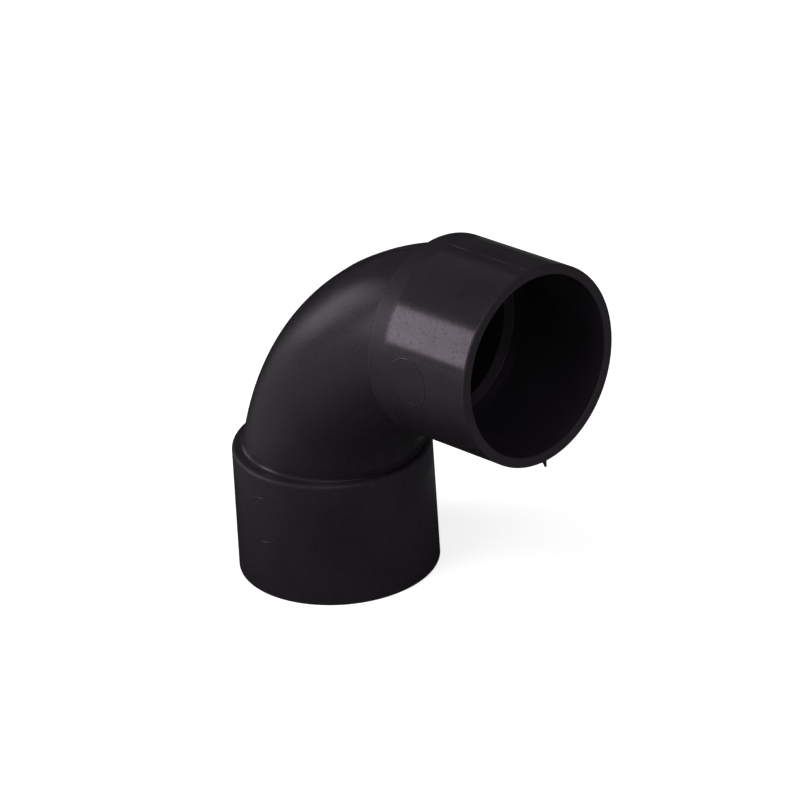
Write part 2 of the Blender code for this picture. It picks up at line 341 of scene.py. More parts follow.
class Fitting:
    """The bend's form, worked out from its sizes."""

    def __init__(self, sizes):
        self.sizes = sizes
        self.length = sizes.bore_depth + sizes.stop_thickness
        self.shoulder_radius = sizes.mouth_radius - sizes.socket_draft
        self.bore_mouth_radius = sizes.mouth_radius - sizes.socket_wall
        self.bore_end_radius = self.bore_mouth_radius - sizes.bore_taper
        self.tube_radius = sizes.waterway_radius + sizes.tube_wall
        self.reach = math.sqrt(sizes.bend_radius ** 2 - sizes.centre_past_shoulder ** 2)
        self.centre = Vector((lower_rim.x + self.reach, 0.0, self.length - sizes.centre_past_shoulder))

    def values(self):
        """What every tree that lays points on the bend takes."""
        return {
            "Bend radius": self.sizes.bend_radius,
            "Centre past shoulder": self.sizes.centre_past_shoulder,
            "Half turn": self.sizes.turn / 2.0,
            "Reach": self.reach,
            "Tube radius": self.tube_radius,
            "Centre": self.centre,
        }

    def mirrored(self, point):
        """A point's image in the plane halfway round the turn, which swaps the two sockets."""
        half = self.sizes.turn / 2.0
        normal = Vector((math.sin(half), 0.0, math.cos(half)))
        return point - normal * (2.0 * (point - self.centre).dot(normal))

    def socket_frame(self, upper):
        """A socket's axes, away from the bend's centre, across and out, at its shoulder's middle."""
        sweep = self.sizes.turn if upper else 0.0
        away = Vector((-math.cos(sweep), 0.0, math.sin(sweep)))
        out = Vector((math.sin(sweep), 0.0, math.cos(sweep))) * (1.0 if upper else -1.0)
        shoulder = self.centre + away * self.reach - out * self.sizes.centre_past_shoulder
        matrix = Matrix((away, (0.0, 1.0, 0.0), out)).transposed().to_4x4()
        matrix.translation = shoulder
        return matrix

    def skin_radius(self, along):
        """The socket's outer radius at a distance past its shoulder."""
        return self.shoulder_radius + self.sizes.socket_draft * along / self.length

    def skin_point(self, upper, along, angle, rise=0.0):
        """A point on a socket's outside, so far past its shoulder and so far round it."""
        radius = self.skin_radius(along) + rise
        return self.socket_frame(upper) @ Vector((radius * math.cos(angle), radius * math.sin(angle),
                                                  along))

    def bend_skin_point(self, sweep, angle, rise=0.0):
        """A point on the tube's outside, at a sweep along the turn and so far round the tube."""
        radius = self.tube_radius + rise
        distance = self.sizes.bend_radius + radius * math.cos(angle)
        return self.centre + Vector((-math.cos(sweep) * distance, radius * math.sin(angle),
                                     math.sin(sweep) * distance))

    def fillet_size(self, foot):
        """The tube's fillet where the tube meets the shoulder so far from the socket's axis."""
        flat = self.shoulder_radius - self.sizes.shoulder_rounding * EDGE_MARGIN
        return min(self.sizes.tube_fillet, max((flat - foot) * FILLET_SHARE, SMALLEST_FILLET))

    def half_section(self):
        """Corners of a socket's half section, as (past the shoulder, from the axis, rounding)."""
        s = self.sizes
        return [
            (0.0, self.tube_radius, 0.0),
            (0.0, self.shoulder_radius, s.shoulder_rounding),
            (self.length, s.mouth_radius, s.rim_outer_rounding),
            (self.length, self.bore_mouth_radius, s.rim_inner_rounding),
            (s.stop_thickness, self.bore_end_radius, s.ledge_rounding),
            (s.stop_thickness, s.waterway_radius, 0.0),
        ]


def section_mesh(fitting):
    """The socket's half section as a line, each rounded corner with a point close on both sides."""
    corners = fitting.half_section()
    points = []
    for before, corner, after in zip(corners, corners[1:], corners[2:]):
        middle = Vector(corner[:2])
        margin = corner[2] * EDGE_MARGIN
        points.append((middle + (Vector(before[:2]) - middle).normalized() * margin, 0.0))
        points.append((middle, corner[2]))
        points.append((middle + (Vector(after[:2]) - middle).normalized() * margin, 0.0))
    mesh = bpy.data.meshes.new("half_section")
    mesh.from_pydata([place.to_3d() for place, _ in points],
                     [(i, i + 1) for i in range(len(points) - 1)], [])
    rounding = mesh.attributes.new("rounding", 'FLOAT', 'POINT')
    rounding.data.foreach_set("value", [radius for _, radius in points])
    return mesh, points[0][0].y, points[-1][0].y


def new_tree(name, values):
    """A Geometry Nodes tree that takes a geometry and the named values, and what it is given."""
    kinds = {int: "NodeSocketInt", float: "NodeSocketFloat", Vector: "NodeSocketVector",
             bpy.types.Material: "NodeSocketMaterial"}
    tree = bpy.data.node_groups.new(name, "GeometryNodeTree")
    tree.interface.new_socket("Geometry", in_out='INPUT', socket_type="NodeSocketGeometry")
    for label, value in values.items():
        socket = tree.interface.new_socket(label, in_out='INPUT', socket_type=kinds[type(value)])
        socket.default_value = value
    tree.interface.new_socket("Geometry", in_out='OUTPUT', socket_type="NodeSocketGeometry")
    return tree, add(tree, "NodeGroupInput").outputs


def end_tree(tree, given, geometry):
    """End a tree as every tree here ends: realized, and with its material set."""
    solid = add(tree, "GeometryNodeRealizeInstances", [geometry])
    finished = add(tree, "GeometryNodeSetMaterial", {"Geometry": solid, "Material": given["Material"]})
    add(tree, "NodeGroupOutput", [finished])


def grow(name, base, make_tree, values):
    """Run a tree on a base mesh, and keep what it makes as an object with a plain mesh."""
    values = {**values, "Material": shared_material(bpy.context)}
    tree = make_tree(values)
    piece = bpy.data.objects.new(name, base)
    bpy.context.scene.collection.objects.link(piece)
    modifier = piece.modifiers.new(tree.name, 'NODES')
    modifier.node_group = tree
    for item in tree.interface.items_tree:
        if item.in_out == 'INPUT' and item.name in values:
            modifier[item.identifier] = values[item.name]
    graph = bpy.context.evaluated_depsgraph_get()
    mesh = bpy.data.meshes.new_from_object(piece.evaluated_get(graph), depsgraph=graph)
    piece.modifiers.clear()
    piece.data = mesh
    bpy.data.meshes.remove(base)
    mesh.name = name
    return piece


def settle(piece, matrix=None):
    """Put a finished piece in place with its faces outward and smooth, and let it ride on the part."""
    work = bmesh.new()
    work.from_mesh(piece.data)
    if matrix is not None:
        work.transform(matrix)
    bmesh.ops.recalc_face_normals(work, faces=work.faces)
    open_edges = sum(1 for edge in work.edges if not edge.is_manifold)
    work.to_mesh(piece.data)
    work.free()
    if open_edges:
        raise RuntimeError(f"{piece.name} has {open_edges} open edges")
    piece.data.shade_smooth()
    piece.data.set_sharp_from_angle(angle=SHARP_ANGLE)
    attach(piece, "root")


def piece_box(piece):
    """The lowest and highest corners of a piece that sits at the origin."""
    corners = [vertex.co for vertex in piece.data.vertices]
    return [Vector([pick(corner[axis] for corner in corners) for axis in range(3)]) for pick in (min, max)]


def turned_arm(tree, angle, length):
    """The two legs of an arm that is turned by an angle: along its first direction, and across it."""
    legs = []
    for leg in ('COSINE', 'SINE'):
        share = add(tree, MATH, [angle], operation=leg)
        legs.append(add(tree, MATH, [share, length], operation='MULTIPLY'))
    return legs


def image_across(tree, given, place):
    """A place's image in the plane halfway round the turn, both from the bend's centre."""
    up, out = turned_arm(tree, given["Half turn"], 1.0)
    normal = add(tree, COMBINE, [out, 0.0, up])
    return add(tree, VECTOR_MATH, [place, normal], operation='REFLECT')


def bend_distance(tree, given, angle, radius):
    """How far a line along the tube runs from the bend's centre, for its angle round the tube."""
    across = add(tree, MATH, [angle], operation='COSINE')
    return add(tree, MATH, [across, radius, given["Bend radius"]], operation='MULTIPLY_ADD')


def sweep_at(tree, given, angle, radius, height):
    """The sweep at which a line along the tube crosses a level plane above the bend's centre."""
    distance = bend_distance(tree, given, angle, radius)
    rise = add(tree, MATH, [height, distance], operation='DIVIDE')
    return add(tree, MATH, [rise], operation='ARCSINE')


def bend_point(tree, given, angle, radius, sweep):
    """A point on the swept tube, from the bend's centre."""
    distance = bend_distance(tree, given, angle, radius)
    back, up = turned_arm(tree, sweep, distance)
    x = add(tree, MATH, [back, -1.0], operation='MULTIPLY')
    return add(tree, COMBINE, [x, turned_arm(tree, angle, radius)[1], up])


def socket_point(tree, given, angle, along, radius):
    """A point round the lower socket's axis, from the bend's centre."""
    back, side = turned_arm(tree, angle, radius)
    x = add(tree, MATH, [back, given["Reach"]], operation='ADD')
    x = add(tree, MATH, [x, -1.0], operation='MULTIPLY')
    z = add(tree, MATH, [given["Centre past shoulder"], along], operation='SUBTRACT')
    return add(tree, COMBINE, [x, side, z])


def blank_band(tree, given, rows):
    """A grid that will become one band of the wall: columns run round it and rows along it."""
    columns = add(tree, MATH, [given["Columns"], 1.0], operation='ADD')
    grid = add(tree, "GeometryNodeMeshGrid", {"Size X": 1.0, "Size Y": 1.0, "Vertices X": columns,
                                              "Vertices Y": rows})
    place = add(tree, "ShaderNodeSeparateXYZ", [add(tree, POSITION)])
    angle = add(tree, MATH, [place.outputs["X"], 2.0 * math.pi, math.pi], operation='MULTIPLY_ADD')
    share = add(tree, MATH, [place.outputs["Y"], 0.5], operation='ADD')
    return grid, angle, share


def socket_band(tree, given):
    """The socket, turned from its half section."""
    line = add(tree, "GeometryNodeMeshToCurve", [given["Geometry"]])
    rounding = add(tree, "GeometryNodeInputNamedAttribute", ["rounding"], data_type='FLOAT')
    rounded = add(tree, "GeometryNodeFilletCurve",
                  {"Curve": line, "Count": given["Rounding steps"], "Radius": rounding},
                  mode='POLY')
    section = add(tree, "GeometryNodeCurveToMesh", [rounded])
    size = add(tree, "GeometryNodeAttributeDomainSize", [section], component='MESH')
    grid, angle, share = blank_band(tree, given, size.outputs["Point Count"])
    last = add(tree, MATH, [size.outputs["Point Count"], 1.0], operation='SUBTRACT')
    row = add(tree, MATH, [share, last], operation='MULTIPLY')
    row = add(tree, "FunctionNodeFloatToInt", [row], rounding_mode='ROUND')
    sample = add(tree, "GeometryNodeSampleIndex",
                 {"Geometry": section, "Value": add(tree, POSITION), "Index": row},
                 data_type='FLOAT_VECTOR', domain='POINT')
    profile = add(tree, "ShaderNodeSeparateXYZ", [sample])
    return grid, socket_point(tree, given, angle, profile.outputs["X"], profile.outputs["Y"])


def fillet_points(tree, given, angle):
    """Where the fillet at the tube's root starts, its corner, where it ends, and the sweep there."""
    radius = given["Tube radius"]
    start = sweep_at(tree, given, angle, radius, given["Centre past shoulder"])
    corner = bend_point(tree, given, angle, radius, start)
    middle = socket_point(tree, given, angle, 0.0, 0.0)
    outward = add(tree, VECTOR_MATH, [corner, middle], operation='SUBTRACT')
    reach = add(tree, VECTOR_MATH, [outward], operation='LENGTH').outputs["Value"]
    room = add(tree, MATH, [given["Shoulder circle"], reach], operation='SUBTRACT')
    room = add(tree, MATH, [room, FILLET_SHARE], operation='MULTIPLY')
    room = add(tree, MATH, [room, SMALLEST_FILLET], operation='MAXIMUM')
    size = add(tree, MATH, [room, given["Tube fillet"]], operation='MINIMUM')
    outward = add(tree, VECTOR_MATH, [outward], operation='NORMALIZE')
    scaled = add(tree, VECTOR_MATH, {0: outward, "Scale": size}, operation='SCALE')
    foot = add(tree, VECTOR_MATH, [corner, scaled], operation='ADD')
    step = add(tree, MATH, [size, bend_distance(tree, given, angle, radius)], operation='DIVIDE')
    sweep = add(tree, MATH, [start, step], operation='ADD')
    return foot, corner, bend_point(tree, given, angle, radius, sweep), sweep


def shoulder_band(tree, given):
    """The flat shoulder, from the turned edge to the foot of the fillet."""
    grid, angle, share = blank_band(tree, given, given["Flat rows"])
    foot = fillet_points(tree, given, angle)[0]
    rim = socket_point(tree, given, angle, 0.0, given["Shoulder circle"])
    place = add(tree, MIX, {0: share, 4: rim, 5: foot}, data_type='VECTOR')
    return grid, place.outputs[1]


def fillet_band(tree, given):
    """The fillet at the tube's root, a smooth curve drawn by three blends."""
    grid, angle, share = blank_band(tree, given, given["Fillet rows"])
    foot, corner, end, _ = fillet_points(tree, given, angle)
    first = add(tree, MIX, {0: share, 4: foot, 5: corner}, data_type='VECTOR')
    second = add(tree, MIX, {0: share, 4: corner, 5: end}, data_type='VECTOR')
    place = add(tree, MIX, {0: share, 4: first.outputs[1], 5: second.outputs[1]}, data_type='VECTOR')
    return grid, place.outputs[1]


def tube_band(tree, given):
    """The tube's skin as far as the mirror plane, with its rows crowded towards the fillet."""
    grid, angle, share = blank_band(tree, given, given["Tube rows"])
    start = fillet_points(tree, given, angle)[-1]
    share = add(tree, MATH, [share, given["Row crowding"]], operation='POWER')
    sweep = add(tree, MIX, {0: share, 2: start, 3: given["Half turn"]}, data_type='FLOAT')
    return grid, bend_point(tree, given, angle, given["Tube radius"], sweep)


def waterway_start(tree, given, angle):
    """The sweep at which a line along the waterway leaves the flat ledge."""
    height = add(tree, MATH, [given["Centre past shoulder"],
                              given["Stop thickness"]], operation='SUBTRACT')
    return sweep_at(tree, given, angle, given["Waterway radius"], height)


def ledge_band(tree, given):
    """The flat ledge that stops the pipe, from the bore to the waterway."""
    grid, angle, share = blank_band(tree, given, given["Flat rows"])
    edge = bend_point(tree, given, angle, given["Waterway radius"], waterway_start(tree, given, angle))
    bore = socket_point(tree, given, angle, given["Stop thickness"], given["Ledge circle"])
    place = add(tree, MIX, {0: share, 4: bore, 5: edge}, data_type='VECTOR')
    return grid, place.outputs[1]


def waterway_band(tree, given):
    """The waterway as far as the mirror plane."""
    grid, angle, share = blank_band(tree, given, given["Waterway rows"])
    start = waterway_start(tree, given, angle)
    sweep = add(tree, MIX, {0: share, 2: start, 3: given["Half turn"]}, data_type='FLOAT')
    return grid, bend_point(tree, given, angle, given["Waterway radius"], sweep)


def wall_tree(values):
    """The whole wall: six bands make half of it, and a mirror plane halfway round the turn the rest."""
    tree, given = new_tree("Pipe bend wall", values)
    half = add(tree, "GeometryNodeJoinGeometry")
    for band in (socket_band, shoulder_band, fillet_band, tube_band, ledge_band, waterway_band):
        grid, place = band(tree, given)
        laid = add(tree, SET_POSITION, {"Geometry": grid, "Position": place})
        tree.links.new(laid.outputs[0], half.inputs[0])
    image = image_across(tree, given, add(tree, POSITION))
    mirrored = add(tree, SET_POSITION, {"Geometry": half, "Position": image})
    both = add(tree, "GeometryNodeJoinGeometry")
    for part in (half, add(tree, "GeometryNodeFlipFaces", [mirrored])):
        tree.links.new(part.outputs[0], both.inputs[0])
    welded = add(tree, "GeometryNodeMergeByDistance", {"Geometry": both, "Distance": MERGE_DISTANCE})
    placed = add(tree, SET_POSITION, {"Geometry": welded, "Offset": given["Centre"]})
    end_tree(tree, given, placed)
    return tree


def seam_path(fitting, side, sink):
    """Points a little under the skin along one side of the parting plane, from mouth to mouth."""
    s = fitting.sizes
    distance = s.bend_radius + side * fitting.tube_radius
    foot = abs(math.sqrt(distance ** 2 - s.centre_past_shoulder ** 2) - fitting.reach)
    edge = s.shoulder_rounding
    fillet = fitting.fillet_size(foot)
    start = math.asin(s.centre_past_shoulder / distance) + fillet / distance
    angle = 0.0 if side > 0.0 else math.pi
    profile = [(fitting.length - s.rim_outer_rounding, s.mouth_radius)]
    for step in range(SEAM_STEPS + 1):
        turn = math.pi / 2.0 * (1.0 + step / SEAM_STEPS)
        profile.append((edge + edge * math.cos(turn),
                        fitting.shoulder_radius - edge + edge * math.sin(turn)))
    matrix = fitting.socket_frame(False)
    points = [matrix @ Vector((side * radius, 0.0, along)) for along, radius in profile]
    low = matrix @ Vector((side * (foot + fillet), 0.0, 0.0))
    corner = matrix @ Vector((side * foot, 0.0, 0.0))
    high = fitting.bend_skin_point(start, angle)
    for step in range(SEAM_STEPS):
        t = step / SEAM_STEPS
        points.append(low * (1.0 - t) ** 2 + corner * (2.0 * t * (1.0 - t)) + high * t ** 2)
    for step in range(TUBE_SEAM_STEPS + 1):
        sweep = start + (s.turn / 2.0 - start) * step / TUBE_SEAM_STEPS
        points.append(fitting.bend_skin_point(sweep, angle))
    points += [fitting.mirrored(point) for point in reversed(points[:-1])]
    sunk = []
    for i, point in enumerate(points):
        along = (points[min(i + 1, len(points) - 1)] - points[max(i - 1, 0)]).normalized()
        sunk.append(point - Vector((-along.z, 0.0, along.x)) * (side * sink))
    return sunk


def line_mesh(points):
    """A plain mesh line through points."""
    mesh = bpy.data.meshes.new("path")
    mesh.from_pydata(points, [(i, i + 1) for i in range(len(points) - 1)], [])
    return mesh


def uneven(tree, given):
    """A slow change along a mark, from -1 to 1, as flash is thicker in some places than in others."""
    place = add(tree, POSITION)
    noise = add(tree, NOISE, {"Vector": place, "W": given["Seed"],
                              "Scale": 1.0 / FLASH_SPACING, "Detail": 2.0},
                noise_dimensions='4D')
    return add(tree, MAP_RANGE, {"Value": noise, "From Min": NOISE_LOW,
                                 "From Max": NOISE_HIGH, "To Min": -1.0, "To Max": 1.0})


def round_line(tree, path, radius):
    """A round line along a path, with its open ends closed."""
    profile = add(tree, "GeometryNodeCurvePrimitiveCircle", {"Resolution": LINE_SIDES, "Radius": 1.0})
    return add(tree, "GeometryNodeCurveToMesh",
               {"Curve": path, "Profile Curve": profile, "Scale": radius, "Fill Caps": True})


def parting_line_tree(values):
    """A thin uneven bead along a path."""
    tree, given = new_tree("Parting line", values)
    path = add(tree, "GeometryNodeMeshToCurve", [given["Geometry"]])
    path = add(tree, "GeometryNodeResampleCurve", {"Curve": path, "Length": given["Spacing"]},
               mode='LENGTH')
    radius = add(tree, MATH, [uneven(tree, given), given["Unevenness"],
                              given["Bead radius"]], operation='MULTIPLY_ADD')
    end_tree(tree, given, round_line(tree, path, radius))
    return tree


def insert_line_tree(values):
    """A thin raised ring laid round a point on the side of a socket, in the socket's own axes."""
    tree, given = new_tree("Insert line", values)
    ring = add(tree, "GeometryNodeCurvePrimitiveCircle",
               {"Resolution": RING_STEPS, "Radius": given["Insert radius"]})
    place = add(tree, "ShaderNodeSeparateXYZ", [add(tree, POSITION)])
    along = add(tree, MATH, [place.outputs["Y"], given["Past shoulder"]], operation='ADD')
    skin = add(tree, MATH, [along, given["Draft"], given["Skin radius"]], operation='MULTIPLY_ADD')
    depth = add(tree, MATH, [uneven(tree, given), given["Unevenness"],
                             given["Sink"]], operation='MULTIPLY_ADD')
    radius = add(tree, MATH, [skin, depth], operation='SUBTRACT')
    turn = add(tree, MATH, [place.outputs["X"], skin], operation='DIVIDE')
    turn = add(tree, MATH, [turn, math.pi / 2.0], operation='SUBTRACT')
    wrapped = add(tree, COMBINE, [*turned_arm(tree, turn, radius), along])
    ring = add(tree, SET_POSITION, {"Geometry": ring, "Position": wrapped})
    end_tree(tree, given, round_line(tree, ring, given["Line radius"]))
    return tree


def strewn_specks(tree, given):
    """Points strewn over the skin, half of them on the sockets, each with a size of its own."""
    seeds = [add(tree, "FunctionNodeIntegerMath", [given["Seed"], step], operation='ADD')
             for step in range(5)]
    bounds = ((given["Smallest"], given["Largest"]), (0.0, 2.0 * math.pi), SPECK_REACH)
    size, angle, share = [
        add(tree, RANDOM, {2: low, 3: high, "Seed": seed}, data_type='FLOAT').outputs[1]
        for (low, high), seed in zip(bounds, seeds)]
    off_bend, past_middle = [
        add(tree, RANDOM, {"Probability": 0.5, "Seed": seed}, data_type='BOOLEAN')
        for seed in seeds[3:]]
    on_skin, on_tube = [
        add(tree, MATH, [size, -SPECK_SINK, given[radius]], operation='MULTIPLY_ADD')
        for radius in ("Skin radius", "Tube radius")]
    along = add(tree, MATH, [share, given["Socket length"]], operation='MULTIPLY')
    on_socket = socket_point(tree, given, angle, along, on_skin)
    sweep = add(tree, MAP_RANGE, {"Value": share, "From Min": 0.0, "From Max": 1.0,
                                  "To Min": FIRST_SPECK_SWEEP,
                                  "To Max": given["Half turn"]})
    on_bend = bend_point(tree, given, angle, on_tube, sweep)
    place = add(tree, "GeometryNodeSwitch", {0: off_bend.outputs[3], 1: on_bend, 2: on_socket},
                input_type='VECTOR')
    image = image_across(tree, given, place)
    place = add(tree, "GeometryNodeSwitch", {0: past_middle.outputs[3], 1: place, 2: image},
                input_type='VECTOR')
    place = add(tree, VECTOR_MATH, [place, given["Centre"]], operation='ADD')
    points = add(tree, "GeometryNodePoints", {"Count": given["Number"], "Position": place})
    return add(tree, "GeometryNodeStoreNamedAttribute",
               {"Geometry": points, "Name": "size", "Value": size}, data_type='FLOAT', domain='POINT')


def speck_tree(values):
    """Small round specks on the points of a mesh, and others strewn over the whole skin."""
    tree, given = new_tree("Moulding specks", values)
    both = add(tree, "GeometryNodeJoinGeometry")
    for points in (strewn_specks(tree, given), add(tree, "GeometryNodeMeshToPoints", [given["Geometry"]])):
        tree.links.new(points.outputs[0], both.inputs[0])
    ball = add(tree, "GeometryNodeMeshIcoSphere", {"Radius": 1.0, "Subdivisions": 2})
    scale = add(tree, "GeometryNodeInputNamedAttribute", ["size"], data_type='FLOAT')
    specks = add(tree, "GeometryNodeInstanceOnPoints",
                 {"Points": both, "Instance": ball.outputs["Mesh"], "Scale": scale})
    end_tree(tree, given, specks)
    return tree


def finish_masks(tree, place, finish, fitting):
    """Where the skin is a socket's, where it is in a bore, and where the mould was polished."""
    wall_middle = (fitting.bore_mouth_radius + fitting.shoulder_radius) / 2.0
    masks = []
    for upper in (False, True):
        matrix = fitting.socket_frame(upper)
        axis = matrix.col[2].to_3d()
        offset = add(tree, VECTOR_MATH, [place, matrix.translation], operation='SUBTRACT')
        past = add(tree, VECTOR_MATH, [offset, axis], operation='DOT_PRODUCT').outputs["Value"]
        across = add(tree, VECTOR_MATH, [offset, axis], operation='CROSS_PRODUCT')
        across = add(tree, VECTOR_MATH, [across], operation='LENGTH').outputs["Value"]
        near = add(tree, MATH, [across, fitting.sizes.mouth_radius + MASK_ROOM], operation='LESS_THAN')
        here = add(tree, MATH, [past, -SHOULDER_ROOM], operation='GREATER_THAN')
        here = add(tree, MATH, [here, near], operation='MULTIPLY')
        bore = add(tree, MATH, [across, wall_middle], operation='LESS_THAN')
        bore = add(tree, MATH, [bore, here], operation='MULTIPLY')
        polished = add(tree, MAP_RANGE, {
            "Value": past, "From Min": finish.band_width - BAND_FADE_BEFORE,
            "From Max": finish.band_width + BAND_FADE_AFTER}, interpolation_type='SMOOTHSTEP')
        polished = add(tree, MATH, [polished, here], operation='MULTIPLY')
        polished = add(tree, MATH, [polished, bore], operation='MAXIMUM')
        edge = add(tree, MAP_RANGE, {
            "Value": past, "From Min": fitting.length - MOUTH_EDGE_DULL,
            "From Max": fitting.length - MOUTH_EDGE_POLISHED})
        polished = add(tree, MATH, [polished, edge], operation='MULTIPLY')
        masks.append((here, bore, polished))
    return [add(tree, MATH, pair, operation='MAXIMUM') for pair in zip(*masks)]


def handling_wear(tree, place, fitting):
    """How strongly handling has dulled the skin, in a few ragged marks."""
    ragged = add(tree, NOISE, {"Vector": place, "Scale": 1.0 / RAGGED_SIZE, "Detail": 3.0})
    ragged = add(tree, VECTOR_MATH, [ragged.outputs["Color"], (RAGGED_REACH,) * 3, place],
                 operation='MULTIPLY_ADD')
    middle = Vector((RAGGED_REACH / 2.0,) * 3)
    worn = 0.0
    for upper, along, angle, size, strength in DULL_MARKS:
        centre = fitting.skin_point(upper, along, math.radians(angle)) + middle
        reach = add(tree, VECTOR_MATH, [ragged, centre], operation='DISTANCE')
        mark = add(tree, MAP_RANGE, {
            "Value": reach.outputs["Value"], "From Min": size * MARK_FADE, "From Max": 0.0,
            "To Max": strength}, interpolation_type='SMOOTHSTEP')
        worn = add(tree, MATH, [mark, worn], operation='MAXIMUM')
    return worn


def fine_pits(tree, place, finish, outer):
    """Fine pits outside the bores, at most one to a cell and none in about half of them."""
    cells = add(tree, "ShaderNodeTexVoronoi", {"Vector": place, "Scale": 1.0 / finish.pit_spacing})
    pit = add(tree, MAP_RANGE, {"Value": cells.outputs["Distance"], "From Min": PIT_RIM,
                                "From Max": PIT_FLOOR}, interpolation_type='SMOOTHSTEP')
    chance = add(tree, "ShaderNodeSeparateColor", [cells.outputs["Color"]])
    chance = add(tree, MATH, [chance, 0.5], operation='GREATER_THAN')
    pit = add(tree, MATH, [pit, chance], operation='MULTIPLY')
    return add(tree, MATH, [pit, outer], operation='MULTIPLY')


def moulded_black_abs(finish, fitting):
    """Black ABS as it leaves a steel mould, which gives a half gloss that copies the steel.

    The sockets come from polished inserts and are the glossiest, the bend is duller, and a narrow band
    past each shoulder is the dullest, so a highlight stops short at the band's edge. A fine grain breaks
    the highlights up, slow waves from cooling bend them, and fine pits and dull marks sit in the skin.
    """
    material = bpy.data.materials.new("moulded_black_abs")
    material.use_nodes = True
    tree = material.node_tree
    shader = tree.nodes["Principled BSDF"]
    shader.inputs["IOR"].default_value = ABS_IOR
    shader.inputs["Specular Tint"].default_value = linear(finish.sheen)
    place = add(tree, "ShaderNodeTexCoord").outputs["Object"]
    on_socket, in_bore, polished = finish_masks(tree, place, finish, fitting)
    outer = add(tree, MATH, [1.0, in_bore], operation='SUBTRACT')
    worn = handling_wear(tree, place, fitting)
    pit = fine_pits(tree, place, finish, outer)

    # The mould's finishes, a little uneven from handling, and duller in its marks and in the pits
    rough = add(tree, MIX, {0: on_socket, 2: finish.bend_roughness, 3: finish.band_roughness})
    rough = add(tree, MIX, {0: polished, 2: rough, 3: finish.socket_roughness})
    mottle = add(tree, NOISE, {"Vector": place, "Scale": 1.0 / MOTTLE_SIZE, "Detail": 4.0})
    mottle = add(tree, MAP_RANGE, {"Value": mottle, "From Min": NOISE_LOW, "From Max": NOISE_HIGH,
                                   "To Min": -MOTTLE_SHARE, "To Max": MOTTLE_SHARE})
    rough = add(tree, MATH, [rough, mottle], operation='ADD')
    rough = add(tree, MATH, [worn, DULL_MARK_SHARE, rough], operation='MULTIPLY_ADD')
    dull = add(tree, MATH, [pit, PIT_DULLNESS, rough], operation='MULTIPLY_ADD')
    tree.links.new(dull.outputs[0], shader.inputs["Roughness"])

    # A stipple of weaker points breaks up the outer skin's highlights and leaves its dark parts alone
    stipple = add(tree, NOISE, {"Vector": place, "Scale": 1.0 / STIPPLE_SIZE,
                                "Detail": 2.0, "Roughness": 0.6})
    stipple = add(tree, MAP_RANGE, {"Value": stipple, "From Min": STIPPLE_FROM,
                                    "From Max": STIPPLE_FULL, "To Max": STIPPLE_SHARE})
    stipple = add(tree, MATH, [stipple, outer], operation='MULTIPLY')
    weaker = add(tree, MATH, [worn, stipple], operation='MAXIMUM')
    gloss = add(tree, MAP_RANGE, {"Value": weaker, "To Min": FULL_GLOSS, "To Max": WORN_GLOSS})
    tree.links.new(gloss.outputs[0], shader.inputs["Specular IOR Level"])

    # The pigment is a little thinner where the melt flowed fast
    flow = add(tree, NOISE, {"Vector": place, "Scale": 1.0 / FLOW_SIZE, "Detail": 3.0, "Distortion": 0.6})
    flow = add(tree, MAP_RANGE, {"Value": flow, "From Min": FLOW_FROM, "From Max": NOISE_HIGH})
    pigment = add(tree, MIX, {0: flow, 6: linear(finish.colour), 7: linear(finish.thin_colour)},
                  data_type='RGBA')
    tree.links.new(pigment.outputs[2], shader.inputs["Base Color"])

    # Mould grain is a few hundredths of a millimetre, and is drawn coarser so that it shows
    waves = add(tree, NOISE, {"Vector": place, "Scale": 1.0 / finish.sink_size})
    grain = add(tree, NOISE, {"Vector": place, "Scale": 1.0 / finish.grain_size,
                              "Detail": 3.0, "Roughness": 0.65})
    bent = add(tree, "ShaderNodeBump", {"Distance": finish.sink_depth, "Height": waves})
    bent = add(tree, "ShaderNodeBump", {"Distance": finish.grain_depth, "Height": grain, "Normal": bent})
    bent = add(tree, "ShaderNodeBump", {"Distance": finish.pit_depth, "Height": pit, "Normal": bent},
               invert=True)
    tree.links.new(bent.outputs[0], shader.inputs["Normal"])
    return material


def shared_material(context):
    """The one plastic of every piece here, made when the first piece needs it."""
    made = bpy.data.materials.get("moulded_black_abs")
    return made or moulded_black_abs(context.scene.plastic_finish, Fitting(context.scene.bend_sizes))


class PIPEBEND_OT_wall(bpy.types.Operator):
    """Build the smooth wall of the bend and both sockets"""

    bl_idname = "pipebend.wall"
    bl_label = "Wall"

    def execute(self, context):
        sizes = context.scene.bend_sizes
        fitting = Fitting(sizes)
        base, shoulder_circle, ledge_circle = section_mesh(fitting)
        wall = grow("pipe_bend_wall", base, wall_tree, {
            **fitting.values(),
            **WALL_STEPS,
            "Columns": sizes.columns,
            "Waterway radius": sizes.waterway_radius,
            "Stop thickness": sizes.stop_thickness,
            "Tube fillet": sizes.tube_fillet,
            "Shoulder circle": shoulder_circle,
            "Ledge circle": ledge_circle,
        })
        settle(wall)
        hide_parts(NODE)
        for given, made in zip(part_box(NODE), piece_box(wall)):
            if (Vector(given) - made).length > BOX_TOLERANCE:
                raise RuntimeError(f"the wall's corner {made} isn't the packed part's {given}")
        return {'FINISHED'}


class PIPEBEND_OT_parting_lines(bpy.types.Operator):
    """Lay the thin flash of the mould's parting line along both sides of the bend"""

    bl_idname = "pipebend.parting_lines"
    bl_label = "Parting lines"

    def execute(self, context):
        marks = context.scene.mould_marks
        fitting = Fitting(context.scene.bend_sizes)
        for name, side, seed in (("parting_line_outer", 1.0, 3.0), ("parting_line_inner", -1.0, 8.0)):
            path = seam_path(fitting, side, marks.line_radius - marks.line_height)
            settle(grow(name, line_mesh(path), parting_line_tree, {
                "Bead radius": marks.line_radius,
                "Spacing": SEAM_SPACING,
                "Unevenness": marks.line_unevenness,
                "Seed": seed,
            }))
        return {'FINISHED'}


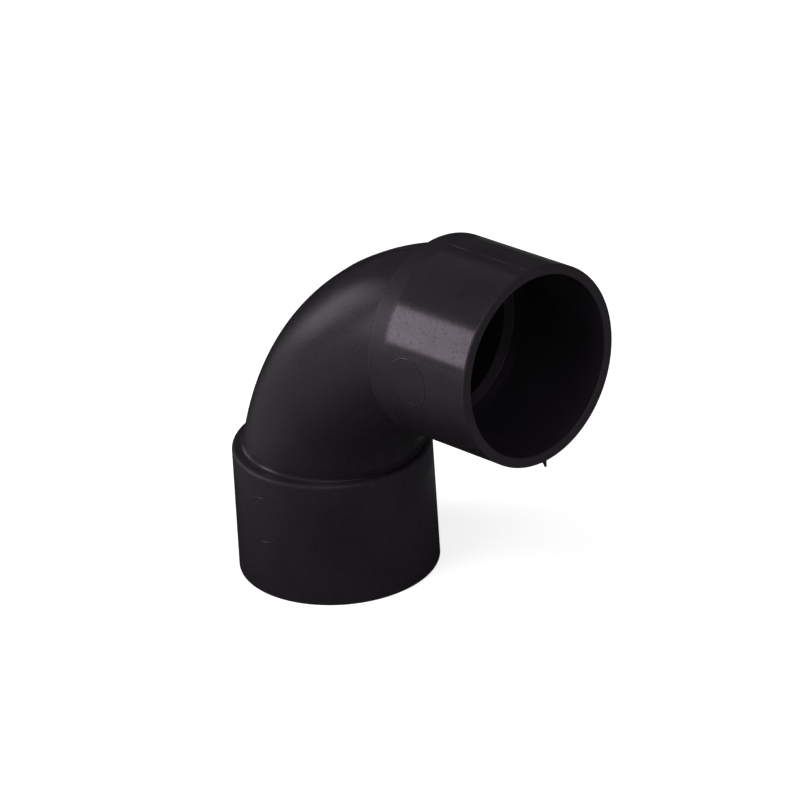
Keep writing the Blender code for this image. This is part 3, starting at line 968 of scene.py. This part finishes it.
class PIPEBEND_OT_insert_lines(bpy.types.Operator):
    """Lay the faint round line of a mould insert on the side of each socket"""

    bl_idname = "pipebend.insert_lines"
    bl_label = "Insert lines"

    def execute(self, context):
        marks = context.scene.mould_marks
        fitting = Fitting(context.scene.bend_sizes)
        for name, upper, past, seed in (
                ("lower_insert_line", False, marks.lower_insert_past_shoulder, 5.0),
                ("upper_insert_line", True, marks.upper_insert_past_shoulder, 9.0)):
            line = grow(name, line_mesh([(0.0, 0.0, 0.0)]), insert_line_tree, {
                "Line radius": marks.insert_line_radius,
                "Insert radius": marks.insert_radius,
                "Past shoulder": past,
                "Skin radius": fitting.shoulder_radius,
                "Draft": fitting.sizes.socket_draft / fitting.length,
                "Sink": marks.insert_line_radius - marks.insert_line_height,
                "Unevenness": marks.insert_line_unevenness,
                "Seed": seed,
            })
            settle(line, fitting.socket_frame(upper))
        return {'FINISHED'}


class PIPEBEND_OT_gate_nib(bpy.types.Operator):
    """Build the remains of the moulding gate on the inner side of the upper mouth"""

    bl_idname = "pipebend.gate_nib"
    bl_label = "Gate nib"

    def execute(self, context):
        marks = context.scene.mould_marks
        fitting = Fitting(context.scene.bend_sizes)
        work = bmesh.new()
        rows = []
        for level in range(-1, NIB_LEVELS + 1):
            share = max(level, 0) / NIB_LEVELS
            rise = marks.nib_height * share if level >= 0 else -NIB_ROOT
            spread = NIB_TIP_SHARE + (1.0 - NIB_TIP_SHARE) * (1.0 - share) ** 2
            row = []
            for step in range(NIB_STEPS):
                turn = 2.0 * math.pi * step / NIB_STEPS
                back = marks.nib_length * spread * (1.0 - math.cos(turn)) / 2.0
                along = fitting.length - fitting.sizes.rim_outer_rounding - back
                across = marks.nib_across * spread / 2.0 * math.sin(turn)
                angle = math.pi + across / (fitting.skin_radius(along) + rise)
                row.append(work.verts.new(fitting.skin_point(True, along, angle, rise)))
            rows.append(row)
        for row, following in zip(rows, rows[1:]):
            for i in range(NIB_STEPS):
                j = (i + 1) % NIB_STEPS
                work.faces.new((row[i], row[j], following[j], following[i]))
        work.faces.new(rows[0])
        tip = work.faces.new(rows[-1])
        bmesh.ops.bevel(work, geom=list(tip.edges), offset=NIB_TIP_ROUNDING, segments=3, profile=0.5,
                        affect='EDGES')
        mesh = bpy.data.meshes.new("gate_nib")
        work.to_mesh(mesh)
        work.free()
        mesh.materials.append(shared_material(context))
        nib = bpy.data.objects.new("gate_nib", mesh)
        context.scene.collection.objects.link(nib)
        settle(nib)
        return {'FINISHED'}


class PIPEBEND_OT_specks(bpy.types.Operator):
    """Strew the small specks that the mould and its dust leave over the skin"""

    bl_idname = "pipebend.specks"
    bl_label = "Specks"

    def execute(self, context):
        sizes = context.scene.bend_sizes
        fitting = Fitting(sizes)
        points = []
        for part, along, angle, size in PLACED_SPECKS:
            sink = -SPECK_SINK * size
            if part == "bend":
                points.append(fitting.bend_skin_point(math.radians(along), math.radians(angle), sink))
            else:
                points.append(fitting.skin_point(part == "upper", along, math.radians(angle), sink))
        base = bpy.data.meshes.new("placed_specks")
        base.from_pydata(points, [], [])
        size_of = base.attributes.new("size", 'FLOAT', 'POINT')
        size_of.data.foreach_set("value", [size for _, _, _, size in PLACED_SPECKS])
        settle(grow("moulding_specks", base, speck_tree, {
            **fitting.values(),
            **SPECK_SIZES,
            "Number": context.scene.mould_marks.speck_number,
            "Skin radius": (fitting.shoulder_radius + sizes.mouth_radius) / 2.0,
            "Socket length": fitting.length,
        }))
        return {'FINISHED'}


class PIPEBEND_OT_stage(bpy.types.Operator):
    """Set the floor, the background, the lamps and the camera"""

    bl_idname = "pipebend.stage"
    bl_label = "Stage"

    def execute(self, context):
        setup = context.scene.stage_setup
        make_floor(setup)
        make_world(context.scene)
        make_camera(context.scene, setup)
        for lamp in LAMPS:
            make_lamp(*lamp)
        context.scene.view_settings.view_transform = 'Standard'
        return {'FINISHED'}


def make_lamp(name, azimuth, elevation, distance, wide, high, brightness, lean, mirrored):
    """A rectangular soft lamp that faces the part."""
    data = bpy.data.lights.new(name, 'AREA')
    data.shape = 'RECTANGLE'
    data.size = 2.0 * distance * math.tan(math.radians(wide) / 2.0)
    data.size_y = 2.0 * distance * math.tan(math.radians(high) / 2.0)
    data.energy = math.pi * data.size * data.size_y * brightness
    lamp = bpy.data.objects.new(name, data)
    bpy.context.scene.collection.objects.link(lamp)
    back = direction(math.radians(azimuth), math.radians(elevation))
    lamp.location = (cad_box[0] + cad_box[1]) / 2.0 + back * distance
    turn = back.to_track_quat('Z', 'Y').to_matrix() @ Euler((0.0, 0.0, math.radians(lean))).to_matrix()
    lamp.rotation_euler = turn.to_euler()
    lamp.visible_camera = False
    lamp.visible_glossy = mirrored


def direction(azimuth, elevation):
    """The way from the part to a place round it: azimuth 0 is its -Y side and 90 its +X side."""
    level = math.cos(elevation)
    return Vector((math.sin(azimuth) * level, -math.cos(azimuth) * level, math.sin(elevation)))


def rays(tree):
    """Whether a ray mirrors the stage, and whether it sees the stage straight or through the part."""
    ray = add(tree, "ShaderNodeLightPath").outputs
    sees = add(tree, MATH, [ray["Is Camera Ray"], ray["Is Transmission Ray"]], operation='MAXIMUM')
    return ray["Is Glossy Ray"], sees


def make_floor(setup):
    """A plain pale floor: white to the camera, with the part's soft shadow kept. Rays that the plastic
    mirrors see painted reflections on it instead: a dark painted tone with painted pools of light.
    """
    half = setup.floor_size / 2.0
    mesh = bpy.data.meshes.new("floor")
    mesh.from_pydata([(-half, -half, 0.0), (half, -half, 0.0), (half, half, 0.0), (-half, half, 0.0)],
                     [], [(0, 1, 2, 3)])
    material = bpy.data.materials.new("floor_with_painted_reflections")
    material.use_nodes = True
    tree = material.node_tree
    shader = tree.nodes["Principled BSDF"]
    shader.inputs["Roughness"].default_value = FLOOR_ROUGHNESS
    shader.inputs["Specular IOR Level"].default_value = 0.0
    mirrors, sees = rays(tree)
    place = add(tree, "ShaderNodeTexCoord").outputs["Object"]
    # What the plastic mirrors is painted: a dark painted tone, with painted pools of light blended in by
    # gradients
    mirrored = linear(PAINTED_REFLECTION_TONE)
    for tone, gradients in PAINTED_LIGHT_PATCHES:
        share = 1.0
        for azimuth, start, full in gradients:
            towards = add(tree, VECTOR_MATH, [place, direction(math.radians(azimuth), 0.0)],
                          operation='DOT_PRODUCT')
            painted_light_share = add(tree, MAP_RANGE, {"Value": towards.outputs["Value"], "From Min": start,
                                        "From Max": full}, interpolation_type='SMOOTHSTEP')
            share = add(tree, MATH, [painted_light_share, share], operation='MULTIPLY')
        mirrored = add(tree, MIX, {0: share, 6: mirrored, 7: linear(tone)}, data_type='RGBA').outputs[2]
    # Mirrored rays get the painted reflection, all other rays the floor's own pale paint
    paint = add(tree, MIX, {0: mirrors, 6: linear(FLOOR_PAINT), 7: mirrored}, data_type='RGBA')
    tree.links.new(paint.outputs[2], shader.inputs["Base Color"])
    glow = add(tree, MATH, [sees, FLOOR_GLOW], operation='MULTIPLY')
    shader.inputs["Emission Color"].default_value = (1.0, 1.0, 1.0, 1.0)
    tree.links.new(glow.outputs[0], shader.inputs["Emission Strength"])
    mesh.materials.append(material)
    floor = bpy.data.objects.new("floor", mesh)
    bpy.context.scene.collection.objects.link(floor)


def make_world(scene):
    """White behind the part. The plastic mirrors the dark room round the lamps, with little in it."""
    world = bpy.data.worlds.new("studio")
    world.use_nodes = True
    scene.world = world
    tree = world.node_tree
    backdrop = tree.nodes["Background"]
    backdrop.inputs["Color"].default_value = (1.0, 1.0, 1.0, 1.0)
    mirrors, sees = rays(tree)
    room = add(tree, MIX, {0: mirrors, 2: ROOM_LIGHT, 3: ROOM_MIRRORED})
    strength = add(tree, MATH, [sees, room], operation='MAXIMUM')
    tree.links.new(strength.outputs[0], backdrop.inputs["Strength"])


def make_camera(scene, setup):
    """The camera at the picture's angle."""
    data = bpy.data.cameras.new("camera")
    data.lens = setup.lens
    data.sensor_width = 36.0
    camera = bpy.data.objects.new("camera", data)
    scene.collection.objects.link(camera)
    back = direction(setup.camera_azimuth, setup.camera_elevation)
    camera.location = Vector(setup.camera_aim) + back * setup.camera_distance
    turn = back.to_track_quat('Z', 'Y').to_matrix() @ Euler((0.0, 0.0, setup.camera_roll)).to_matrix()
    camera.rotation_euler = turn.to_euler()
    data.clip_start = 0.05
    data.clip_end = 20.0
    scene.camera = camera


class PIPEBEND_PT_panel(bpy.types.Panel):
    """Sizes and steps of the pipe bend"""

    bl_idname = "PIPEBEND_PT_panel"
    bl_label = "Pipe Bend"
    bl_space_type = 'VIEW_3D'
    bl_region_type = 'UI'
    bl_category = "Pipe Bend"

    def draw(self, context):
        for operator in OPERATORS:
            self.layout.operator(operator.bl_idname)
        for group, _ in GROUPS:
            settings = getattr(context.scene, group)
            box = self.layout.box()
            for name in settings.bl_rna.properties.keys():
                if name not in ("rna_type", "name"):
                    box.prop(settings, name)


GROUPS = (
    ("bend_sizes", BendSizes),
    ("mould_marks", MouldMarks),
    ("plastic_finish", PlasticFinish),
    ("stage_setup", StageSetup),
)
OPERATORS = (PIPEBEND_OT_wall, PIPEBEND_OT_parting_lines, PIPEBEND_OT_insert_lines,
             PIPEBEND_OT_gate_nib, PIPEBEND_OT_specks, PIPEBEND_OT_stage)


def register():
    for name, group in GROUPS:
        bpy.utils.register_class(group)
        setattr(bpy.types.Scene, name, PointerProperty(type=group))
    for operator in OPERATORS:
        bpy.utils.register_class(operator)
    bpy.utils.register_class(PIPEBEND_PT_panel)


def unregister():
    bpy.utils.unregister_class(PIPEBEND_PT_panel)
    for operator in reversed(OPERATORS):
        bpy.utils.unregister_class(operator)
    for name, group in reversed(GROUPS):
        delattr(bpy.types.Scene, name)
        bpy.utils.unregister_class(group)


def main():
    register()
    bpy.ops.pipebend.wall()
    bpy.ops.pipebend.parting_lines()
    bpy.ops.pipebend.insert_lines()
    bpy.ops.pipebend.gate_nib()
    bpy.ops.pipebend.specks()
    bpy.ops.pipebend.stage()


if __name__ == "__main__":
    main()
